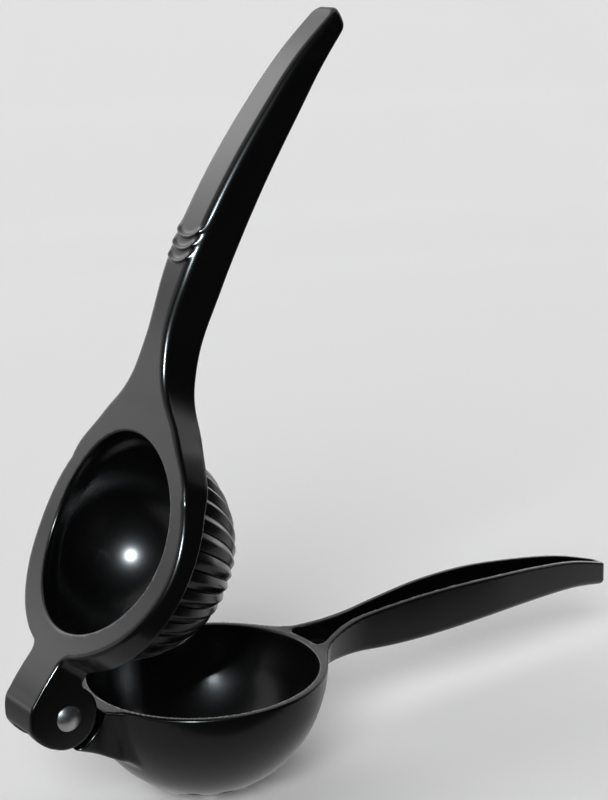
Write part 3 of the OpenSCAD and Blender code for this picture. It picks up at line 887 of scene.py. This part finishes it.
def reflection_card(name, corners):
    """A sheet that glows faintly to paint a reflection: it is seen in the gloss only, and casts no
    shadow.
    """
    made, tree, surface = new_material(name)
    fill(tree, surface, {"Base Color": (0, 0, 0, 1), "Specular IOR Level": 0.0,
                         "Emission Color": (1, 1, 1, 1)})
    obj = level_sheet(name, corners, CARD_Z, made)
    for kind in ("camera", "diffuse", "transmission", "volume_scatter", "shadow"):
        setattr(obj, "visible_" + kind, False)
    return tree, surface.inputs["Emission Strength"]


# painted reflections, seen in the gloss only: a glowing sheet for a grey table under the tool,
# lighter round the bowl, away from its near edge and far off, and a sheet with a faint glow for the
# dark room in front of that edge; the floor that the camera sees stays plain pale paper
TABLE_REFLECTION_GLOW, ROUND_BOWL, INLAND, FAR_OFF, DARK_ROOM_REFLECTION = 0.28, 0.13, 0.22, 0.7, 0.02
ROUND_BOWL_R = 0.06
INLAND_Y, INLAND_X, FAR_OFF_Y = (-0.085, -0.025), (0.05, 0.12), (0.15, 0.8)
REFLECTED_TABLE_EDGE = [(FLOOR, -0.9), (0.23, -0.096), (0.162, -0.088), (0.015, -0.079), (-0.020, -0.066),
              (-0.054, -0.058), (-0.10, -0.052), (-FLOOR, -0.052)]

# painted reflection of the table: its glow is set by place, not lit by the lamps
painted_table_reflection, table_reflection_glow = reflection_card("painted_table_reflection", REFLECTED_TABLE_EDGE[::-1] + FLOOR_CORNERS[2:])
along_x, along_y, _ = xyz(own_place(painted_table_reflection))
from_bowl = along_x * along_x + along_y * along_y
round_bowl = 1.0 - ramp(painted_table_reflection, from_bowl, 0.0, ROUND_BOWL_R ** 2)
inland = ramp(painted_table_reflection, along_y, *INLAND_Y) * ramp(painted_table_reflection, along_x, *INLAND_X)
far_off = ramp(painted_table_reflection, along_y, *FAR_OFF_Y)
plug(painted_table_reflection, table_reflection_glow, TABLE_REFLECTION_GLOW + ROUND_BOWL * round_bowl + INLAND * inland + FAR_OFF * far_off)
# painted reflection of the dark room: a sheet with a faint glow, seen in the gloss only
_, dark_reflection_glow = reflection_card("painted_dark_room_reflection", REFLECTED_TABLE_EDGE + FLOOR_CORNERS[:2])
dark_reflection_glow.default_value = DARK_ROOM_REFLECTION


def lamp(name, kind, location, settings):
    """A light that shines from over the shoulder and is not seen itself."""
    data = bpy.data.lights.new(name, kind)
    for setting, value in settings.items():
        setattr(data, setting, value)
    obj = in_scene(name, data)
    obj.location = location
    obj.rotation_euler = OVER_SHOULDER.to_track_quat("Z", "Y").to_euler()
    obj.visible_camera = False
    return obj


# one soft light over the left shoulder, and the small bright lamp in it that the gloss shows
OVER_SHOULDER = toward(-44, 30)
KEY_D, KEY_SIZE, KEY_RADIANCE = 1.4, 0.14, 520.0
KEY_AIM = Vector((0, 0, 0.1))
KEY_TINT = (0.84, 0.94, 1.0)

soft_light = lamp("soft_light", "SUN", OVER_SHOULDER, {"energy": 2.2, "angle": math.radians(30)})
soft_light.visible_glossy = False
key = lamp("key", "AREA", KEY_AIM + OVER_SHOULDER * KEY_D, {
    "shape": "DISK", "size": KEY_SIZE, "color": KEY_TINT,
    "energy": KEY_RADIANCE * math.pi * math.pi * KEY_SIZE * KEY_SIZE / 4})
key.visible_diffuse = False

# the camera stands at SPOT, looks at AIM and leans by ROLL degrees
SPOT, AIM = Vector((-0.2774, -0.4402, 0.2573)), Vector((0.0388, 0.0, 0.1091))
ROLL, LENS, SENSOR = -1.5, 86.78, 36.0

view = bpy.data.cameras.new("camera")
view.sensor_width = SENSOR
view.lens = LENS
camera = in_scene("camera", view)
back = (SPOT - AIM).normalized()
level = Vector((0, 0, 1)).cross(back).normalized()
upright = back.cross(level)
tilt = math.radians(ROLL)
right = math.cos(tilt) * level + math.sin(tilt) * upright
upward = -math.sin(tilt) * level + math.cos(tilt) * upright
camera.matrix_world = Matrix((right, upward, back)).transposed().to_4x4()
camera.location = SPOT
bpy.context.scene.camera = camera
bpy.context.scene.view_settings.view_transform = "Standard"
